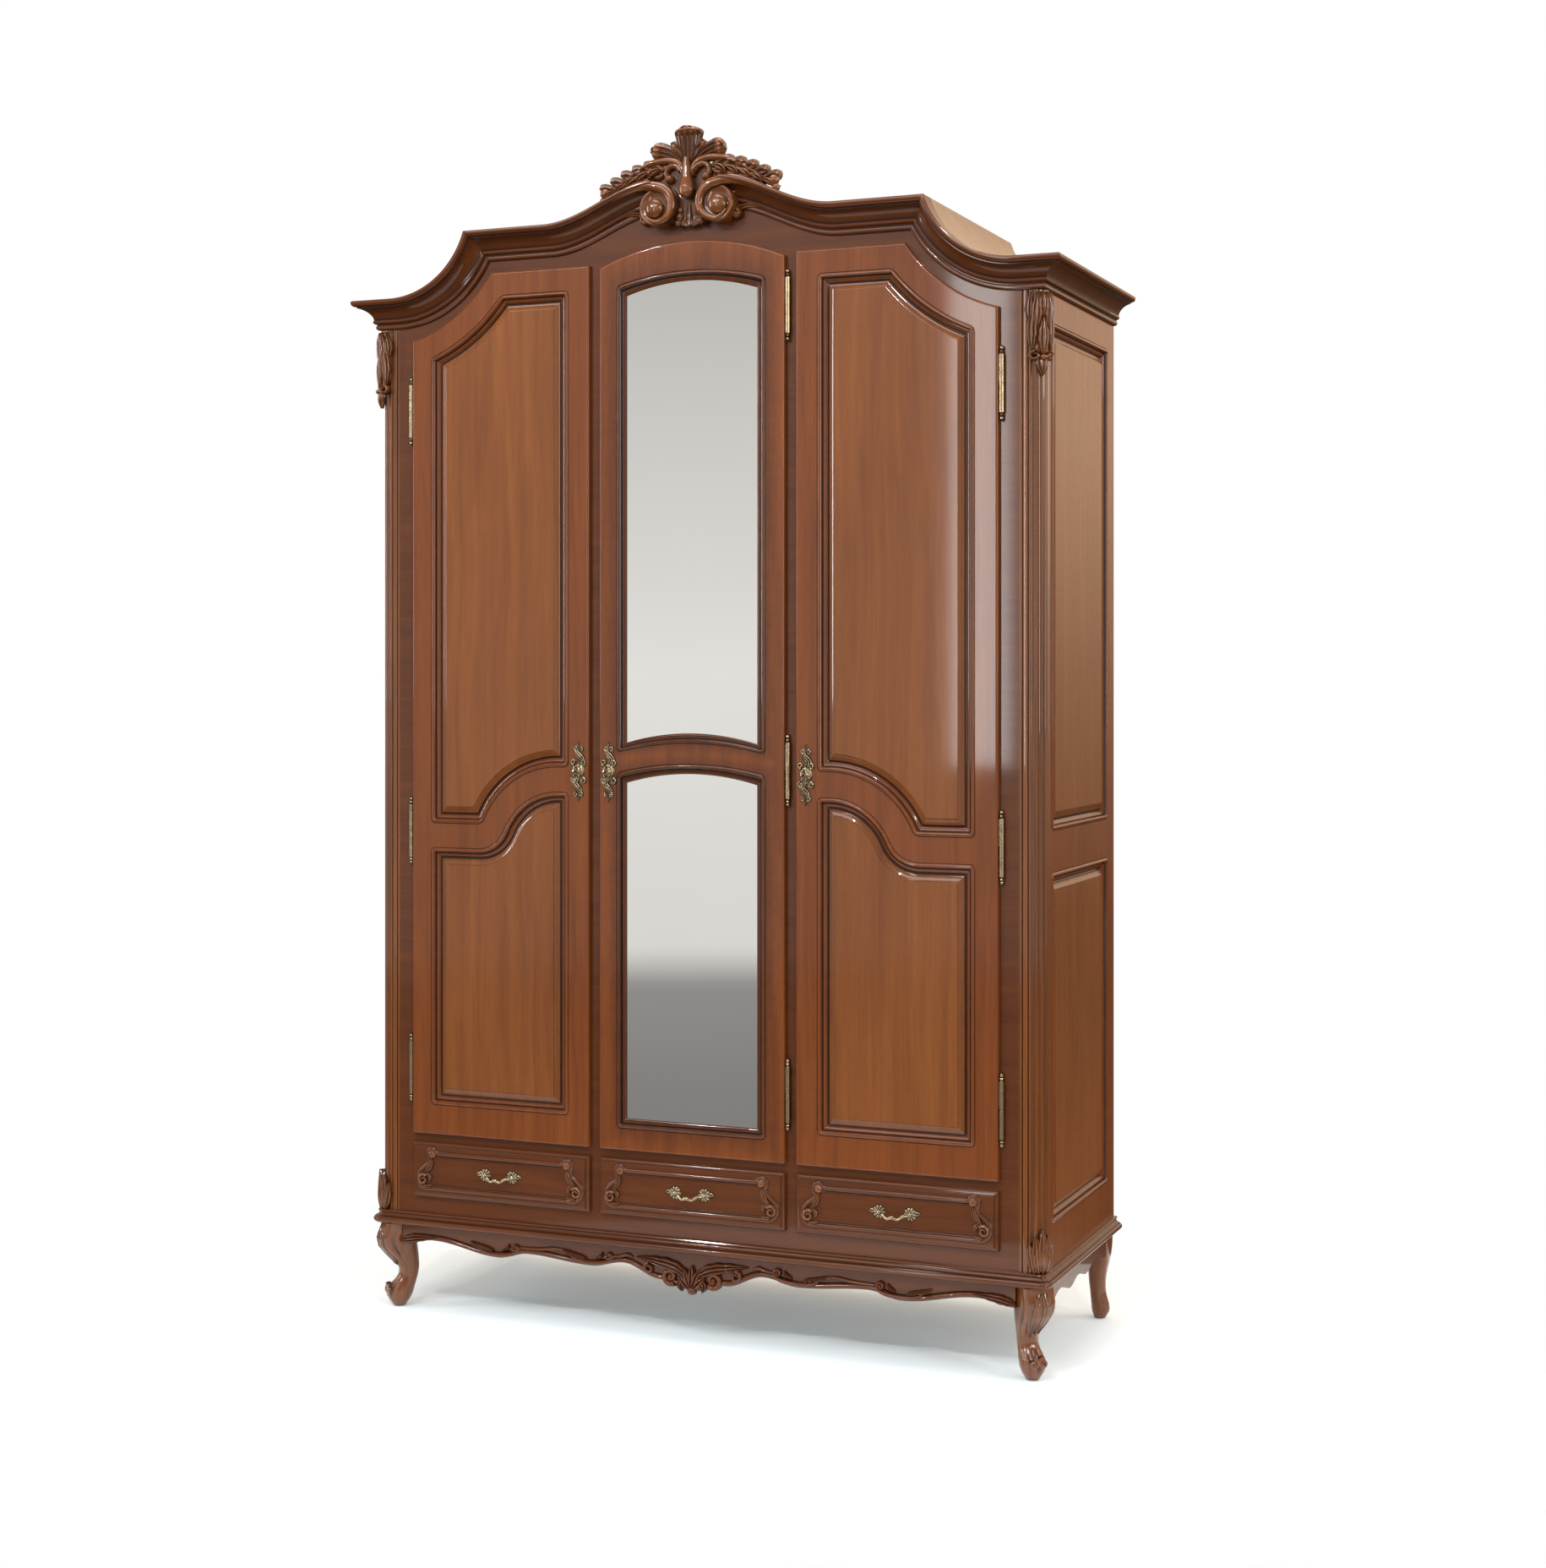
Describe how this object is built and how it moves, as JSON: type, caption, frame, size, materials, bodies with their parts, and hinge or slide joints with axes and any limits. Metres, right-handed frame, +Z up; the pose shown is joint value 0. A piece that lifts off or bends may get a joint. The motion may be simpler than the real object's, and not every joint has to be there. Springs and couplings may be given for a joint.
{
  "type": "armoire",
  "caption": "Tall wardrobe with a crowned, carved cornice, hinged panelled doors beside a mirrored door, drawers below and short bent legs.",
  "frame": {"origin": "on the floor, at the centre of the width and of the depth", "axes": "+X to the right as seen from the front, -Y out of the doors, +Z up"},
  "size_m": [1.554, 0.58, 2.45],
  "materials": {
    "lacquered_walnut": "gloss",
    "panel_walnut": "gloss",
    "carved_walnut": "gloss",
    "plain_wood": "satin",
    "silvered_glass": "polished",
    "aged_brass": "satin",
    "plated_steel": "satin"
  },
  "bodies": {
    "carcass": {"front_apron": "lacquered_walnut", "base_rails": "lacquered_walnut", "front_legs": "carved_walnut", "rear_legs": "carved_walnut", "waist_moulding": "lacquered_walnut", "bottom_board": "plain_wood", "corner_posts": "lacquered_walnut", "side_frames": "lacquered_walnut", "side_panels": "panel_walnut", "face_frame": "lacquered_walnut", "frieze": "lacquered_walnut", "back_panel": "plain_wood", "partitions": "plain_wood", "drawer_deck": "plain_wood", "drawer_guides": "plain_wood", "left_shelves": "plain_wood", "hat_shelves": "plain_wood", "hanging_rails": "plated_steel", "rail_sockets": "aged_brass", "roof_boards": "plain_wood", "cornice": "lacquered_walnut", "crest": "carved_walnut", "post_carvings": "carved_walnut", "lock_strikes": "plated_steel", "left_hinge_pins": "aged_brass", "centre_hinge_pins": "aged_brass", "right_hinge_pins": "aged_brass"},
    "left_door": {"left_door_frame": "lacquered_walnut", "left_door_panels": "panel_walnut", "left_door_hinges": "aged_brass", "left_escutcheon": "aged_brass", "left_lock": "plated_steel"},
    "centre_door": {"centre_door_frame": "lacquered_walnut", "mirrors": "silvered_glass", "mirror_backs": "plain_wood", "centre_door_hinges": "aged_brass", "centre_escutcheon": "aged_brass", "centre_lock": "plated_steel"},
    "right_door": {"right_door_frame": "lacquered_walnut", "right_door_panels": "panel_walnut", "right_door_hinges": "aged_brass", "right_escutcheon": "aged_brass", "right_lock": "plated_steel"},
    "left_bolt": {"left_bolt": "aged_brass"},
    "centre_bolt": {"centre_bolt": "aged_brass"},
    "right_bolt": {"right_bolt": "aged_brass"},
    "left_key": {"left_key": "aged_brass"},
    "centre_key": {"centre_key": "aged_brass"},
    "right_key": {"right_key": "aged_brass"},
    "left_drawer": {"left_drawer_front": "lacquered_walnut", "left_drawer_box": "plain_wood", "left_drawer_pull": "aged_brass"},
    "centre_drawer": {"centre_drawer_front": "lacquered_walnut", "centre_drawer_box": "plain_wood", "centre_drawer_pull": "aged_brass"},
    "right_drawer": {"right_drawer_front": "lacquered_walnut", "right_drawer_box": "plain_wood", "right_drawer_pull": "aged_brass"}
  },
  "joints": [
    {"name": "left_door_swing", "type": "hinge", "parent": "carcass", "child": "left_door", "pos_m": [-0.6508, -0.25, 0.517], "axis": [0, 0, -1], "range_deg": [0, 105]},
    {"name": "centre_door_swing", "type": "hinge", "parent": "carcass", "child": "centre_door", "pos_m": [0.2098, -0.25, 0.517], "axis": [0, 0, 1], "range_deg": [0, 95]},
    {"name": "right_door_swing", "type": "hinge", "parent": "carcass", "child": "right_door", "pos_m": [0.6508, -0.25, 0.517], "axis": [0, 0, 1], "range_deg": [0, 105]},
    {"name": "left_key_turn", "type": "hinge", "parent": "left_door", "child": "left_key", "pos_m": [-0.251, -0.26, 1.15], "axis": [0, 1, 0], "range_deg": [0, 90]},
    {"name": "centre_key_turn", "type": "hinge", "parent": "centre_door", "child": "centre_key", "pos_m": [-0.182, -0.26, 1.15], "axis": [0, -1, 0], "range_deg": [0, 90]},
    {"name": "right_key_turn", "type": "hinge", "parent": "right_door", "child": "right_key", "pos_m": [0.251, -0.26, 1.15], "axis": [0, -1, 0], "range_deg": [0, 90]},
    {"name": "left_bolt_throw", "type": "slide", "parent": "left_door", "child": "left_bolt", "axis": [1, 0, 0], "range_m": [0, 0.012]},
    {"name": "centre_bolt_throw", "type": "slide", "parent": "centre_door", "child": "centre_bolt", "axis": [-1, 0, 0], "range_m": [0, 0.012]},
    {"name": "right_bolt_throw", "type": "slide", "parent": "right_door", "child": "right_bolt", "axis": [-1, 0, 0], "range_m": [0, 0.012]},
    {"name": "left_drawer_slide", "type": "slide", "parent": "carcass", "child": "left_drawer", "axis": [0, -1, 0], "range_m": [0, 0.34]},
    {"name": "centre_drawer_slide", "type": "slide", "parent": "carcass", "child": "centre_drawer", "axis": [0, -1, 0], "range_m": [0, 0.34]},
    {"name": "right_drawer_slide", "type": "slide", "parent": "carcass", "child": "right_drawer", "axis": [0, -1, 0], "range_m": [0, 0.34]}
  ],
  "couplings": [
    {"joint": "left_key_turn", "follows": "left_bolt_throw", "rad_per_m": 130.89},
    {"joint": "centre_key_turn", "follows": "centre_bolt_throw", "rad_per_m": 130.89},
    {"joint": "right_key_turn", "follows": "right_bolt_throw", "rad_per_m": 130.89}
  ]
}
